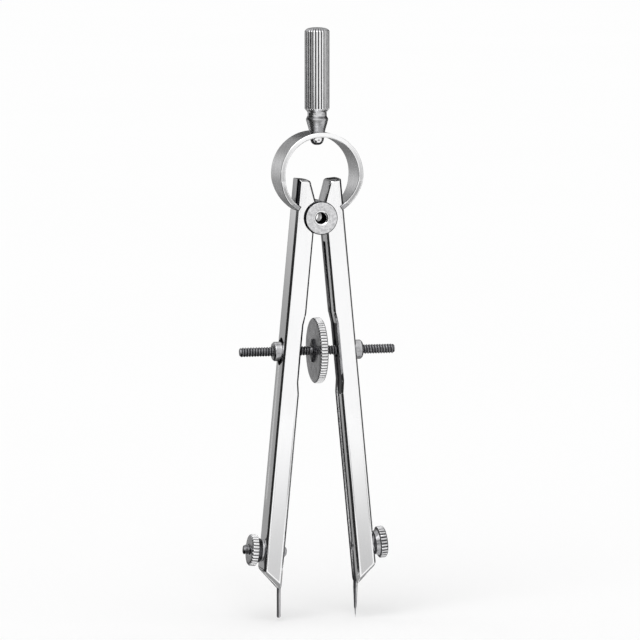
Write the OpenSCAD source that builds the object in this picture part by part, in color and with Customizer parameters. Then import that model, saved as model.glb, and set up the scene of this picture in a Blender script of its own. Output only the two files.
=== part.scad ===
// Spring bow compass: two slotted legs rocking on a drilled spool, a ring spring with a fluted
// handle, a centre wheel on a twin-thread spindle, and a clamped point in each foot.
// Millimetres. Origin at the middle of the pivot hole, +X to the right leg, +Y to the back, +Z up.

/* [Legs] */
// width of one leg, seen from the front
leg_w = 5.15; // [4.6:0.05:5.6]
// depth of one leg, front to back
leg_d = 7.4; // [6.6:0.1:8.6]
// space between the two legs when the compass is closed
leg_gap = 2.45; // [2.3:0.05:2.9]
// height of the ears above the pivot
ear_top = 9.3; // [8.6:0.1:10.0]
// distance from the pivot down to the inner corner of the lead's foot
leg_length = 95.2; // [91:0.2:100]
// how much shorter the needle's leg is than the lead's leg
needle_leg_less = 0.9; // [0:0.1:1.4]
// lean of each leg from upright in the stored pose, degrees
leg_tilt = 5.35; // [4:0.05:7]
// how much shorter the outer side of the foot is than the inner side
foot_cut = 4.7; // [3.6:0.1:5.4]
// size of the bevels at the inner tip of the foot, which fade towards its outer corner
foot_bevel = 1.15; // [0.7:0.05:1.6]
// width of the slot along the inner side of each leg
slot_w = 2.0; // [1.8:0.1:2.4]
// depth of the slot along the inner side of each leg
slot_depth = 2.2; // [2.0:0.05:2.5]
// depth of the relief that makes room for the wheel
relief_depth = 0.45; // [0.35:0.05:0.8]

/* [Pivot] */
// radius of the spool that the legs rock on
bush_r = 2.4; // [2.2:0.05:2.7]
// radius of the hole through the pivot
hole_r = 1.4; // [1.0:0.05:1.5]
// radius of the cover discs
disc_r = 4.2; // [3.9:0.1:4.8]
// thickness of the cover discs
disc_t = 1.0; // [0.8:0.1:1.6]

/* [Ring spring] */
// outer radius of the ring
ring_r = 10.7; // [10.4:0.05:11.2]
// thickness of the spring strip
ring_t = 1.2; // [0.9:0.05:1.4]
// width of the strip, front to back, at the sides and top
ring_w = 10.8; // [9.4:0.1:11.6]
// height of the ring's centre above the pivot
ring_z = 10.85; // [10.6:0.05:11.2]
// half the angle left open at the bottom of the ring, degrees
ring_gap_angle = 33; // [31:0.5:35]

/* [Handle] */
// radius of the fluted grip
grip_r = 3.15; // [2.8:0.05:3.6]
// length of the fluted grip
grip_len = 20.7; // [16:0.1:28]
// number of flutes around the grip
grip_flutes = 26; // [18:1:32]
// length of the waisted foot between grip and ring
foot_len = 5.5; // [4.6:0.1:6.4]

/* [Spindle] */
// distance from the pivot down to the swivel nuts, along a leg
nut_drop = 34.65; // [32:0.05:37]
// radius of the spindle over its thread crests
spindle_r = 1.2; // [1.0:0.05:1.3]
// whole length of the spindle
spindle_len = 40.2; // [38:0.2:46]
// pitch of each thread
thread_pitch = 0.7; // [0.5:0.05:0.8]
// radius of the swivel nuts
nut_r = 2.45; // [2.2:0.05:2.6]
// how far a swivel nut stands out of its leg
nut_stand = 2.05; // [1.8:0.05:2.6]
// radius of the adjusting wheel
wheel_r = 8.3; // [7.4:0.1:8.8]
// thickness of the adjusting wheel at its rim
wheel_t = 2.0; // [1.5:0.1:2.2]
// number of teeth on the wheel's rim
wheel_teeth = 64; // [48:1:72]
// half the diagonal of the wheel's square hub
hub_r = 3.0; // [2.6:0.1:3.4]

/* [Clamps] */
// height of each clamp above its foot's inner corner, along the leg
clamp_rise = 9.7; // [9:0.1:11]
// radius of the clamp studs
stud_r = 1.25; // [1.1:0.05:1.4]
// radius of the knurled clamp nuts
knob_r = 4.05; // [3.5:0.05:4.4]
// width of the knurled rim of a clamp nut
knob_t = 1.8; // [1.5:0.1:2.4]
// number of teeth on a clamp nut
knob_teeth = 28; // [20:1:34]
// how far the left stud stands out of its nut
stud_out = 1.45; // [1:0.05:2.5]

/* [Points] */
// how far inside the foot's inner corner each point comes out
point_inset = 0.05; // [-0.1:0.01:0.2]
// radius of the lead
lead_r = 0.5; // [0.4:0.05:0.55]
// radius of the needle's shank
needle_r = 0.55; // [0.45:0.05:0.6]
// distance of the lead's end below the foot's inner corner
lead_out = 7.2; // [6:0.1:9]
// distance of the needle's tip below the foot's inner corner
needle_out = 8.0; // [7:0.1:10]
// length of the needle's fine tip
tip_len = 2.3; // [1.6:0.1:3]
// length of the needle's tapered part, tip included
taper_len = 7.6; // [6:0.1:8.4]
// length of a point that is held inside its leg
point_hold = 14; // [12:0.5:16]

/* [Hidden] */
$fn = 64;

// clearance between pieces that move on each other
run_gap = 0.12;
// clearance between pieces fixed to each other
fix_gap = 0.02;
// overlap that keeps cuts clean
over = 1;

// leg positions in the leg's own frame, with the leg upright
leg_in = leg_gap / 2;
leg_out = leg_in + leg_w;
relief_half = wheel_r + 2;
relief_ramp = 3;
slot_start = bush_r + 4;
needle_leg = leg_length - needle_leg_less;
ear_relief = 1.8;
ear_start = ear_top * 0.37;

// radius of the swivel nuts' half-barrel ends
barrel_r = nut_r + 0.15;
// stored-pose place of the swivel nuts' barrel axes
nut_x = leg_out * cos(leg_tilt) + nut_drop * sin(leg_tilt);
nut_z = leg_out * sin(leg_tilt) - nut_drop * cos(leg_tilt);
// stored-pose place of the foot's inner corner
foot_x = leg_in * cos(leg_tilt) + leg_length * sin(leg_tilt);
foot_z = leg_in * sin(leg_tilt) - leg_length * cos(leg_tilt);
// distance of each point from the middle plane in the stored pose
point_x = foot_x - point_inset;
// top ends of the points, kept inside the slot
point_top = foot_z + point_hold;
// distances from the pivot down to the clamps, along the legs
left_clamp_drop = leg_length - clamp_rise;
right_clamp_drop = needle_leg - clamp_rise;

// ring and handle heights
ring_top = ring_z + ring_r;
grip_z = ring_top + foot_len;
grip_end = grip_z + grip_len;
rivet_r = 0.9;
rivet_head_r = 1.75;
rivet_head_h = 2.2;
rivet_reach = 4;

// pivot stack
disc_y = leg_d / 2 + run_gap;
pivot_half = disc_y + disc_t;
bush_end_r = bush_r - 0.45;

// wheel hub
hub_half = wheel_t / 2 + 0.5;
hub_side = hub_r * sqrt(2);

// clamp stack, outward from the leg's outer side
washer_t = 0.5;
washer_r = 2.9;
knob_shoulder = 1.1;
knob_x = leg_out + fix_gap + washer_t + run_gap / 2;
knob_end = knob_x + knob_shoulder + knob_t;

module right_side() {
    rotate([0, -leg_tilt, 0])
        children();
}

module left_side() {
    mirror([1, 0, 0])
        rotate([0, -leg_tilt, 0])
            children();
}

module along_x() {
    rotate([0, 90, 0])
        children();
}

module along_y(from) {
    translate([0, from, 0])
        rotate([-90, 0, 0])
            children();
}

// solid swept front to back from an outline drawn in X and Z
module plate(half) {
    translate([0, half, 0])
        rotate([90, 0, 0])
            linear_extrude(height = 2 * half)
                children();
}

// ring strip without its opening, grown by a clearance on its inner and outer faces
module ring_band(grow, half) {
    translate([0, 0, ring_z])
        difference() {
            along_y(-half)
                cylinder(r = ring_r + grow, h = 2 * half, $fn = 128);
            along_y(-half - over)
                cylinder(r = ring_r - ring_t - grow, h = 2 * half + 2 * over, $fn = 128);
        }
}

// wedge below the ring's centre, open downwards
module ring_wedge(angle) {
    reach = 2 * ring_r;
    translate([0, 0, ring_z])
        plate(ring_w)
            polygon([[0, 0], [-reach * sin(angle), -reach * cos(angle)],
                [reach * sin(angle), -reach * cos(angle)]]);
}

// row of grooves cut around a rim that turns about Z
module rim_grooves(count, radius, bite, from, height) {
    for (i = [0 : count - 1])
        rotate([0, 0, i * 360 / count])
            translate([radius, 0, from])
                cylinder(r = bite, h = height, $fn = 16);
}

// outline of a leg of a given length in its own frame
module leg_outline(length) {
    ear_in = leg_in + ear_relief;
    blunt = 0.4;
    polygon([[leg_in, -length],
        [leg_out - blunt, -length + foot_cut * (1 - blunt / leg_w)],
        [leg_out, -length + foot_cut + blunt],
        [leg_out, ear_top],
        [ear_in + 1.0, ear_top],
        [ear_in + 0.5, ear_top - 0.14],
        [ear_in + 0.14, ear_top - 0.5],
        [ear_in, ear_top - 1.0],
        [leg_in, ear_start],
        [leg_in, -nut_drop + relief_half],
        [leg_in + relief_depth, -nut_drop + relief_half - relief_ramp],
        [leg_in + relief_depth, -nut_drop - relief_half + relief_ramp],
        [leg_in, -nut_drop - relief_half]]);
}

// bars that bevel the front and back edges of the slanted foot, less towards the outer corner
module foot_bars(length) {
    slope = atan(foot_cut / leg_w);
    fade = atan(0.8 * foot_bevel * cos(slope) / leg_w);
    bar = 3;
    for (face = [0, 1])
        mirror([0, face, 0])
            translate([leg_in, -leg_d / 2, -length])
                rotate([0, fade - slope, 0])
                    rotate([45, 0, 0])
                        translate([-2 * over, -bar, -bar])
                            cube([leg_w + 4 * over, bar + foot_bevel / sqrt(2), 2 * bar]);
}

// slot that lets the level spindle through a leg at every opening
module spindle_slot() {
    low = spindle_r + 0.25;
    rise = leg_w * tan(17.5);
    plate(spindle_r + 0.2)
        polygon([[leg_in - over, -nut_drop - low],
            [leg_out + over, -nut_drop - low],
            [leg_out + over, -nut_drop + low],
            [leg_out, -nut_drop + low],
            [leg_in, -nut_drop + low + rise],
            [leg_in - over, -nut_drop + low + rise]]);
}

// long recess around a swivel nut on the outer side of a leg
module nut_recess() {
    half = nut_r + 0.2;
    reach = 0.9;
    depth = 1.3;
    for (end = [-1, 1])
        translate([leg_out - depth, 0, -nut_drop + end * reach])
            along_x()
                cylinder(r = half, h = depth + over);
    translate([leg_out - depth, -half, -nut_drop - reach])
        cube([depth + over, 2 * half, 2 * reach]);
}

// leg of a given length in its own frame, with the clamp hole at a given distance below the pivot
module leg_bar(length, clamp_drop) {
    difference() {
        plate(leg_d / 2)
            leg_outline(length);
        foot_bars(length);
        along_y(-leg_d / 2 - over)
            cylinder(r = bush_r + run_gap, h = leg_d + 2 * over);
        translate([leg_in - over, -slot_w / 2, -leg_length - over])
            cube([slot_depth + over, slot_w, leg_length + over - slot_start]);
        spindle_slot();
        translate([leg_out, 0, -nut_drop])
            along_y(-nut_r - run_gap)
                cylinder(r = barrel_r + run_gap, h = 2 * (nut_r + run_gap));
        nut_recess();
        translate([leg_in - over, 0, -clamp_drop])
            along_x()
                cylinder(r = stud_r + fix_gap, h = leg_w + 2 * over);
    }
}

// room for the ring's ends in the stored pose
module ring_notch() {
    difference() {
        ring_band(run_gap, leg_d);
        ring_wedge(ring_gap_angle - 1.2);
        translate([-2 * ring_r, -ring_w, ring_z - ring_r / 2])
            cube([4 * ring_r, 2 * ring_w, 4 * ring_r]);
    }
}

// stud in the leg's own frame, with an eye for the point
module clamp_stud(clamp_drop, from, to, eye_r) {
    difference() {
        translate([from, 0, -clamp_drop])
            along_x()
                rotate_extrude()
                    polygon([[0, 0], [stud_r - 0.25, 0], [stud_r, 0.25], [stud_r, to - from - 0.25],
                        [stud_r - 0.25, to - from], [0, to - from]]);
        rotate([0, leg_tilt, 0])
            translate([point_x, 0, -leg_length])
                cylinder(r = eye_r + 2 * fix_gap, h = leg_length / 2);
    }
}

module clamp_washer(clamp_drop) {
    translate([leg_out + fix_gap, 0, -clamp_drop])
        along_x()
            difference() {
                cylinder(r = washer_r, h = washer_t);
                translate([0, 0, -over])
                    cylinder(r = stud_r + fix_gap, h = washer_t + 2 * over);
            }
}

// knurled nut in the leg's own frame
module clamp_nut(clamp_drop) {
    full = knob_shoulder + knob_t;
    translate([knob_x, 0, -clamp_drop])
        along_x()
            difference() {
                rotate_extrude()
                    polygon([[stud_r + 0.04, 0], [knob_r - 1.1, 0], [knob_r - 0.7, knob_shoulder],
                        [knob_r - 0.12, knob_shoulder], [knob_r, knob_shoulder + 0.12],
                        [knob_r, full - 0.35], [knob_r - 0.35, full], [stud_r + 0.04, full]]);
                rim_grooves(knob_teeth, knob_r + 0.1, 0.3, knob_shoulder - over, knob_t + 2 * over);
            }
}

// swivel nut turned about X, with a half-barrel end that rocks in its leg about Y
module swivel_nut() {
    difference() {
        intersection() {
            translate([-2 * nut_r, 0, 0])
                along_x()
                    rotate_extrude()
                        polygon([[0, 0], [nut_r, 0], [nut_r, 2 * nut_r + nut_stand - 0.45],
                            [nut_r - 0.4, 2 * nut_r + nut_stand], [0, 2 * nut_r + nut_stand]]);
            union() {
                along_y(-2 * nut_r)
                    cylinder(r = barrel_r, h = 4 * nut_r);
                translate([0, -2 * nut_r, -2 * nut_r])
                    cube([2 * nut_r, 4 * nut_r, 4 * nut_r]);
            }
        }
        translate([-2 * nut_r, 0, 0])
            along_x()
                cylinder(r = spindle_r + 0.05, h = 4 * nut_r + nut_stand);
    }
}

// cover disc with its outer face at the higher Y
module cover_disc() {
    along_y(0)
        rotate_extrude()
            polygon([[bush_end_r + fix_gap, 0], [disc_r, 0], [disc_r, disc_t - 0.25],
                [disc_r - 0.25, disc_t], [bush_end_r + fix_gap, disc_t]]);
}

module handle() {
    waist = 0.77 * grip_r;
    flange = 0.89 * grip_r;
    color([0.78, 0.79, 0.80])
        difference() {
            rotate_extrude()
                polygon([[0, ring_top - 1], [2.0, ring_top - 1], [2.0, ring_top + 0.1],
                    [flange, grip_z - 2.55], [flange, grip_z - 2.25], [waist, grip_z - 1.6],
                    [waist, grip_z - 0.6], [grip_r - 0.3, grip_z - 0.1], [grip_r, grip_z + 0.3],
                    [grip_r, grip_end - 1.0], [grip_r - 0.25, grip_end - 0.6],
                    [grip_r - 0.8, grip_end - 0.25], [grip_r - 1.7, grip_end - 0.05], [0, grip_end]]);
            rim_grooves(grip_flutes, grip_r + 0.1, 0.27, grip_z - 0.4, grip_len + 1);
            translate([0, 0, ring_z])
                along_y(-2 * grip_r)
                    cylinder(r = ring_r + fix_gap, h = 4 * grip_r, $fn = 128);
            translate([0, 0, ring_top - over])
                cylinder(r = rivet_r + fix_gap, h = rivet_reach + over);
        }
}

module handle_rivet() {
    head_z = ring_top - ring_t;
    color([0.70, 0.71, 0.72])
        union() {
            translate([0, 0, head_z - 0.4])
                cylinder(r = rivet_r, h = ring_t + rivet_reach);
            intersection() {
                rotate_extrude()
                    polygon([[0, head_z - rivet_head_h], [0.75, head_z - rivet_head_h + 0.05],
                        [1.3, head_z - rivet_head_h + 0.4], [1.62, head_z - rivet_head_h + 0.95],
                        [rivet_head_r, head_z - rivet_head_h + 1.6], [rivet_head_r, head_z + over],
                        [0, head_z + over]]);
                translate([0, 0, ring_z])
                    along_y(-ring_w)
                        cylinder(r = ring_r - ring_t - fix_gap, h = 2 * ring_w, $fn = 128);
            }
        }
}

module spring_ring() {
    tip_z = ring_z - ring_r - over;
    taper_z = ring_z - 0.15 * ring_r;
    end_half = leg_d / 2;
    end_z = ring_z - ring_r * cos(ring_gap_angle) + 1;
    color([0.74, 0.75, 0.77])
        difference() {
            intersection() {
                ring_band(0, ring_w);
                rotate([90, 0, 90])
                    translate([0, 0, -2 * ring_r])
                        linear_extrude(height = 4 * ring_r)
                            polygon([[-end_half, tip_z], [end_half, tip_z], [end_half, end_z],
                                [ring_w / 2, taper_z], [ring_w / 2, ring_top + over],
                                [-ring_w / 2, ring_top + over], [-ring_w / 2, taper_z],
                                [-end_half, end_z]]);
            }
            ring_wedge(ring_gap_angle);
            translate([0, 0, ring_top - ring_t - over])
                cylinder(r = rivet_r + fix_gap, h = ring_t + 2 * over);
        }
}

module pivot_bush() {
    color([0.66, 0.67, 0.69])
        along_y(-pivot_half)
            rotate_extrude()
                polygon([[hole_r + 0.2, 0], [bush_end_r, 0], [bush_end_r, disc_t],
                    [bush_r, disc_t], [bush_r, 2 * pivot_half - disc_t],
                    [bush_end_r, 2 * pivot_half - disc_t], [bush_end_r, 2 * pivot_half],
                    [hole_r + 0.2, 2 * pivot_half], [hole_r, 2 * pivot_half - 0.2], [hole_r, 0.2]]);
}

module front_disc() {
    color([0.80, 0.81, 0.82])
        rotate([0, 0, 180])
            translate([0, disc_y, 0])
                cover_disc();
}

module rear_disc() {
    color([0.80, 0.81, 0.82])
        translate([0, disc_y, 0])
            cover_disc();
}

module left_leg() {
    color([0.88, 0.89, 0.90])
        difference() {
            left_side()
                leg_bar(leg_length, left_clamp_drop);
            ring_notch();
        }
}

module right_leg() {
    color([0.88, 0.89, 0.90])
        difference() {
            right_side()
                leg_bar(needle_leg, right_clamp_drop);
            ring_notch();
        }
}

module left_swivel_nut() {
    color([0.72, 0.72, 0.73])
        translate([-nut_x, 0, nut_z])
            mirror([1, 0, 0])
                swivel_nut();
}

module right_swivel_nut() {
    color([0.72, 0.72, 0.73])
        translate([nut_x, 0, nut_z])
            swivel_nut();
}

module spindle() {
    half = spindle_len / 2;
    plain = hub_half + 0.2;
    depth = 0.3 * thread_pitch;
    turns = floor((half - plain - 0.6) / thread_pitch);
    tooth = [[0, 0.1], [depth, 0.45], [depth, 0.65], [0, 1]];
    side = [for (i = [0 : turns - 1], t = tooth) [spindle_r - t[0], plain + (i + t[1]) * thread_pitch]];
    last = len(side) - 1;
    color([0.35, 0.35, 0.37])
        translate([0, 0, nut_z])
            along_x()
                rotate_extrude()
                    polygon(concat([[0, -half], [spindle_r - 0.3, -half], [spindle_r, -half + 0.3]],
                        [for (i = [0 : last]) [side[last - i][0], -side[last - i][1]]],
                        side,
                        [[spindle_r, half - 0.3], [spindle_r - 0.3, half], [0, half]]));
}

module adjusting_wheel() {
    color([0.62, 0.63, 0.65])
        translate([0, 0, nut_z])
            along_x()
                difference() {
                    union() {
                        rotate_extrude()
                            polygon([[0, -wheel_t / 2], [wheel_r - 0.25, -wheel_t / 2],
                                [wheel_r, -wheel_t / 2 + 0.25], [wheel_r, wheel_t / 2 - 0.25],
                                [wheel_r - 0.25, wheel_t / 2], [0, wheel_t / 2]]);
                        rotate([0, 0, 45])
                            translate([-hub_side / 2, -hub_side / 2, -hub_half])
                                cube([hub_side, hub_side, 2 * hub_half]);
                    }
                    translate([0, 0, -hub_half - over])
                        cylinder(r = spindle_r + 0.03, h = 2 * hub_half + 2 * over);
                    rim_grooves(wheel_teeth, wheel_r + 0.1, 0.3, -wheel_t, 2 * wheel_t);
                }
}

module left_clamp_stud() {
    color([0.55, 0.55, 0.57])
        left_side()
            clamp_stud(left_clamp_drop, leg_in - 1, knob_end + stud_out, lead_r);
}

module right_clamp_stud() {
    color([0.55, 0.55, 0.57])
        right_side()
            clamp_stud(right_clamp_drop, leg_in - 0.25, knob_end - 0.1, needle_r);
}

module left_clamp_washer() {
    color([0.80, 0.80, 0.81])
        left_side()
            clamp_washer(left_clamp_drop);
}

module right_clamp_washer() {
    color([0.80, 0.80, 0.81])
        right_side()
            clamp_washer(right_clamp_drop);
}

module left_clamp_nut() {
    color([0.60, 0.60, 0.62])
        left_side()
            clamp_nut(left_clamp_drop);
}

module right_clamp_nut() {
    color([0.60, 0.60, 0.62])
        right_side()
            clamp_nut(right_clamp_drop);
}

module lead() {
    tip = foot_z - lead_out;
    color([0.25, 0.25, 0.26])
        translate([-point_x, 0, 0])
            rotate_extrude()
                polygon([[0, tip], [lead_r - 0.15, tip], [lead_r, tip + 0.3], [lead_r, point_top],
                    [0, point_top]]);
}

module needle() {
    tip = foot_z - needle_out;
    color([0.55, 0.56, 0.58])
        translate([point_x, 0, 0])
            rotate_extrude()
                polygon([[0, tip], [0.2, tip + tip_len], [0.34, tip + tip_len + 0.3],
                    [needle_r, tip + taper_len], [needle_r, point_top], [0, point_top]]);
}

handle();
handle_rivet();
spring_ring();
pivot_bush();
front_disc();
rear_disc();
left_leg();
right_leg();
left_swivel_nut();
right_swivel_nut();
spindle();
adjusting_wheel();
left_clamp_stud();
right_clamp_stud();
left_clamp_washer();
right_clamp_washer();
left_clamp_nut();
right_clamp_nut();
lead();
needle();
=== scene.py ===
"""Looks of the spring bow compass: plated legs, ring spring, cut threads, knurls and a pale studio."""

import math

import bpy
from mathutils import Matrix, Vector


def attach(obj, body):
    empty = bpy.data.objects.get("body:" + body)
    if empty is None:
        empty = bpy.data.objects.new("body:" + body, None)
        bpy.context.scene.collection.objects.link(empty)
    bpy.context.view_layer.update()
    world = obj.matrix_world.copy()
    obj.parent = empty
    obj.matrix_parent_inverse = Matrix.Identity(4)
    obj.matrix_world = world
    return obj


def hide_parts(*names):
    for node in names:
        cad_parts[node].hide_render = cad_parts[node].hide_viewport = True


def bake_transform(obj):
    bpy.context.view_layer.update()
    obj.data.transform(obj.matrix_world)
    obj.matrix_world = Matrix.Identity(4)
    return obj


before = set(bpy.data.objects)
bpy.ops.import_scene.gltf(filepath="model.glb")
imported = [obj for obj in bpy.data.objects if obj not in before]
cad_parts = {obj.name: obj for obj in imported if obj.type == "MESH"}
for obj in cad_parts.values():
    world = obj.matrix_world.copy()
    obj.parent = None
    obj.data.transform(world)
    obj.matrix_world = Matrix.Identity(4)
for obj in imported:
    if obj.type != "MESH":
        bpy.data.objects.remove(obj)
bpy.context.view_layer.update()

MM = 0.001

# Sizes in millimetres, the same as the solids have.
LEG_TILT = 5.35
LEG_IN = 1.225
LEG_OUT = LEG_IN + 5.15
LEG_HALF = 3.7
LEG_LENGTH = 95.2
NEEDLE_LEG = LEG_LENGTH - 0.9
EAR_TOP = 9.3
EAR_IN = LEG_IN + 1.8
EAR_START = 0.37 * EAR_TOP
EAR_ROUND = 1.0
FOOT_CUT = 4.7
FOOT_BLUNT = 0.4
FOOT_BEVEL = 1.15
SLOT_HALF = 1.0
SLOT_FLOOR = LEG_IN + 2.2
SLOT_TOP = -6.4
SLOT_FLARE = 0.25
RELIEF_IN = LEG_IN + 0.45
RELIEF_HALF = 10.3
RELIEF_RAMP = 3.0
RUN_GAP = 0.12
FIX_GAP = 0.02

BUSH_R = 2.4
BUSH_END_R = BUSH_R - 0.45
HOLE_R = 1.4
HOLE_CHAMFER = 0.35
DISC_R = 4.2
DISC_T = 1.0
DISC_CHAMFER = 0.25
DISC_Y = LEG_HALF + RUN_GAP
PIVOT_HALF = DISC_Y + DISC_T

RING_R = 10.7
RING_T = 1.2
RING_W = 10.8
RING_Z = 10.85
RING_GAP = 33.0
RING_ROUND = 0.25
RING_TOP = RING_Z + RING_R
RING_TAPER_Z = RING_Z - 0.15 * RING_R
RING_END_Z = RING_Z - RING_R * math.cos(math.radians(RING_GAP)) + 1

GRIP_R = 3.15
GRIP_Z = RING_TOP + 5.5
GRIP_END = GRIP_Z + 20.7
GRIP_FLUTES = 26
FLUTE_DEPTH = 0.26
FLUTE_REACH = 0.22
WAIST_R = 0.77 * GRIP_R
WAIST_TOP = GRIP_Z - 0.6
WAIST_LOW = GRIP_Z - 1.6
FLANGE_R = 0.89 * GRIP_R
FLANGE_TOP = GRIP_Z - 2.25
FLANGE_LOW = GRIP_Z - 2.55
CONE_R = 2.0
RIVET_R = 0.9
RIVET_HEAD_R = 1.75
RIVET_HEAD_H = 2.2

TILT_COS = math.cos(math.radians(LEG_TILT))
TILT_SIN = math.sin(math.radians(LEG_TILT))
NUT_DROP = 34.65
NUT_X = LEG_OUT * TILT_COS + NUT_DROP * TILT_SIN
NUT_Z = LEG_OUT * TILT_SIN - NUT_DROP * TILT_COS
NUT_R = 2.45
NUT_STAND = 2.05
NUT_INNER_END = -2.1
BARREL_R = NUT_R + 0.15
RECESS_DEPTH = 1.3
RECESS_HALF = 0.9
SPINDLE_R = 1.2
SPINDLE_HALF = 20.1
SPINDLE_CHAMFER = 0.3
SPINDLE_SWING = 17.5
THREAD_PITCH = 0.7
THREAD_DEPTH = 0.3 * THREAD_PITCH
WHEEL_R = 8.3
WHEEL_HALF = 1.0
WHEEL_CHAMFER = 0.25
WHEEL_PLAY = 0.03
WHEEL_TEETH = 64
HUB_R = 3.0
HUB_HALF = WHEEL_HALF + 0.5
HUB_CHAMFER = 0.15

LEFT_CLAMP_DROP = LEG_LENGTH - 9.7
RIGHT_CLAMP_DROP = NEEDLE_LEG - 9.7
STUD_R = 1.25
STUD_CHAMFER = 0.25
STUD_PITCH = 0.6
STUD_GROOVE = 0.16
WASHER_R = 2.9
WASHER_T = 0.5
KNOB_R = 4.05
KNOB_X = LEG_OUT + FIX_GAP + WASHER_T + RUN_GAP / 2
KNOB_SHOULDER = KNOB_X + 1.1
KNOB_TEETH = 28
KNOB_END = KNOB_SHOULDER + 1.8

FOOT_Z = LEG_IN * TILT_SIN - LEG_LENGTH * TILT_COS
POINT_X = LEG_IN * TILT_COS + LEG_LENGTH * TILT_SIN - 0.05
POINT_TOP = FOOT_Z + 14
LEAD_R = 0.5
LEAD_TIP = FOOT_Z - 7.2
NEEDLE_R = 0.55
NEEDLE_TIP = FOOT_Z - 8.0

# Mesh steps around one flute, tooth or knurl.
TOOTH_STEPS = 10

# Distances in from a leg's outline at which its bevel ends and its face begins.
BEVEL = 0.55
FACE_EDGE = 0.60
# Half section of a leg, from the middle of its side to its face: (distance in, distance from the middle).
LEG_SECTION = [(0.0, 0.0), (0.005, 0.8), (0.02, 1.6), (0.038, 2.2), (0.048, 2.5), (0.062, 2.85),
               (0.075, 3.08), (0.10, 3.14), (BEVEL, 3.60), (FACE_EDGE, 3.635), (0.67, 3.655), (0.76, 3.675),
               (0.86, 3.69), (0.95, LEG_HALF)]
# Share of the foot's bevel that is left at the foot's outer corner.
FOOT_FADE = 0.2

# Zones of a leg's painted light and shade in its own frame: places across it, half depths, heights, then
# depths.
INNER_SKIN = LEG_IN + 0.75
OUTER_SKIN = LEG_OUT - 0.12
INNER_HALF = 3.1
FLAT_HALF = 3.2
SLOT_SHADE_HALF = 2.75
SLOT_SHADE_TOP = -6
SLOT_SHADE_END = -90.5
INNER_TOP = -3
RELIEF_SHADE_TOP = -26.5
RELIEF_SHADE_END = -46
EAR_SHADE_Z = 1
UPPER_BAND_Y = 0.5
LOWER_BAND_Y = 1.5
EAR_FRONT_Y = -3.62
EAR_BAND_Y = -1.2
EAR_BACK_Y = 3.3

# Place along the pivot hole, counted forwards from its middle, in front of which its wall has painted shade.
HOLE_SHADE_FROM = -0.8

# Shares of a face's normal along an axis: closely along it, roughly along it, and nearly square to it.
CLOSELY = 0.9
ROUGHLY = 0.5
SQUARE = 0.3


def turn(axis, degrees):
    """Rotation about one of the frame's axes."""
    return Matrix.Rotation(math.radians(degrees), 4, axis)


def shift(x, y, z):
    """Move given in millimetres."""
    return Matrix.Translation(Vector((x, y, z)) * MM)


# Frames of the handle, the two legs, pieces turned about a level or front-to-back axis, and the spindle.
UNMOVED = Matrix.Identity(4)
RIGHT = turn("Y", -LEG_TILT)
LEFT = turn("Y", LEG_TILT)
TO_RIGHT = turn("Y", 90)
TO_LEFT = turn("Y", -90)
TO_FRONT = turn("X", 90)
TO_BACK = turn("X", -90)
SPINDLE_FRAME = shift(0, 0, NUT_Z) @ TO_RIGHT


def fillet(points, radius, steps=3, closed=False):
    """The same line with every corner rounded."""
    rounded = []
    count = len(points)
    for i, point in enumerate(points):
        corner = Vector(point)
        if not closed and i in (0, count - 1):
            rounded.append(corner)
            continue
        back = Vector(points[i - 1]) - corner
        ahead = Vector(points[(i + 1) % count]) - corner
        reach = min(radius, 0.45 * back.length, 0.45 * ahead.length)
        start = corner + back.normalized() * reach
        end = corner + ahead.normalized() * reach
        for k in range(steps + 1):
            t = k / steps
            rounded.append(start * (1 - t) ** 2 + corner * (2 * t * (1 - t)) + end * t ** 2)
    return [tuple(point) for point in rounded]


def even_steps(start, end, step):
    """Heights from start to end in equal steps close to the given one."""
    count = max(1, round(abs(end - start) / step))
    return [start + (end - start) * i / count for i in range(count + 1)]


def side_faces(rows, count):
    """Faces between neighbouring rings of count points each."""
    faces = []
    for row in range(rows - 1):
        for i in range(count):
            j = (i + 1) % count
            faces.append([row * count + i, row * count + j, (row + 1) * count + j, (row + 1) * count + i])
    return faces


def lathe(profile, segments, limit=None):
    """Body turned about Z from (radius, height) pairs; limit(angle, height) caps the radius."""
    points = []
    rows = []
    for radius, height in profile:
        if radius < 1e-6:
            rows.append([len(points)])
            points.append((0, 0, height))
            continue
        row = []
        for i in range(segments):
            angle = 2 * math.pi * i / segments
            r = radius if limit is None else min(radius, limit(angle, height))
            row.append(len(points))
            points.append((r * math.cos(angle), r * math.sin(angle), height))
        rows.append(row)
    pairs = list(zip(rows, rows[1:]))
    if len(rows[0]) > 1 and len(rows[-1]) > 1:
        pairs.append((rows[-1], rows[0]))
    faces = []
    for low, high in pairs:
        for i in range(segments):
            j = (i + 1) % segments
            face = [low[i % len(low)], low[j % len(low)], high[j % len(high)], high[i % len(high)]]
            face = list(dict.fromkeys(face))
            if len(face) > 2:
                faces.append(face)
    return points, faces


def grooves(count, crest, depth, reach=0.34):
    """Radius limit of straight grooves around a rim, each reaching a share of the pitch to either side."""
    def limit(angle, height):
        phase = (angle * count / (2 * math.pi)) % 1
        away = min(phase, 1 - phase)
        return crest - depth * max(0.0, 1 - (away / reach) ** 2)
    return limit


def thread(crest, depth, pitch, hand):
    """Radius limit of a screw thread; hand(height) gives 1 or -1, or 0 where there is no thread."""
    floor_share = 0.18
    flank_share = 0.64

    def limit(angle, height):
        side = hand(height)
        if side == 0:
            return crest
        phase = (height / pitch - side * angle / (2 * math.pi)) % 1
        rise = 1 - abs(2 * phase - 1)
        return crest - depth * min(1.0, max(0.0, (rise - floor_share) / flank_share))
    return limit


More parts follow.
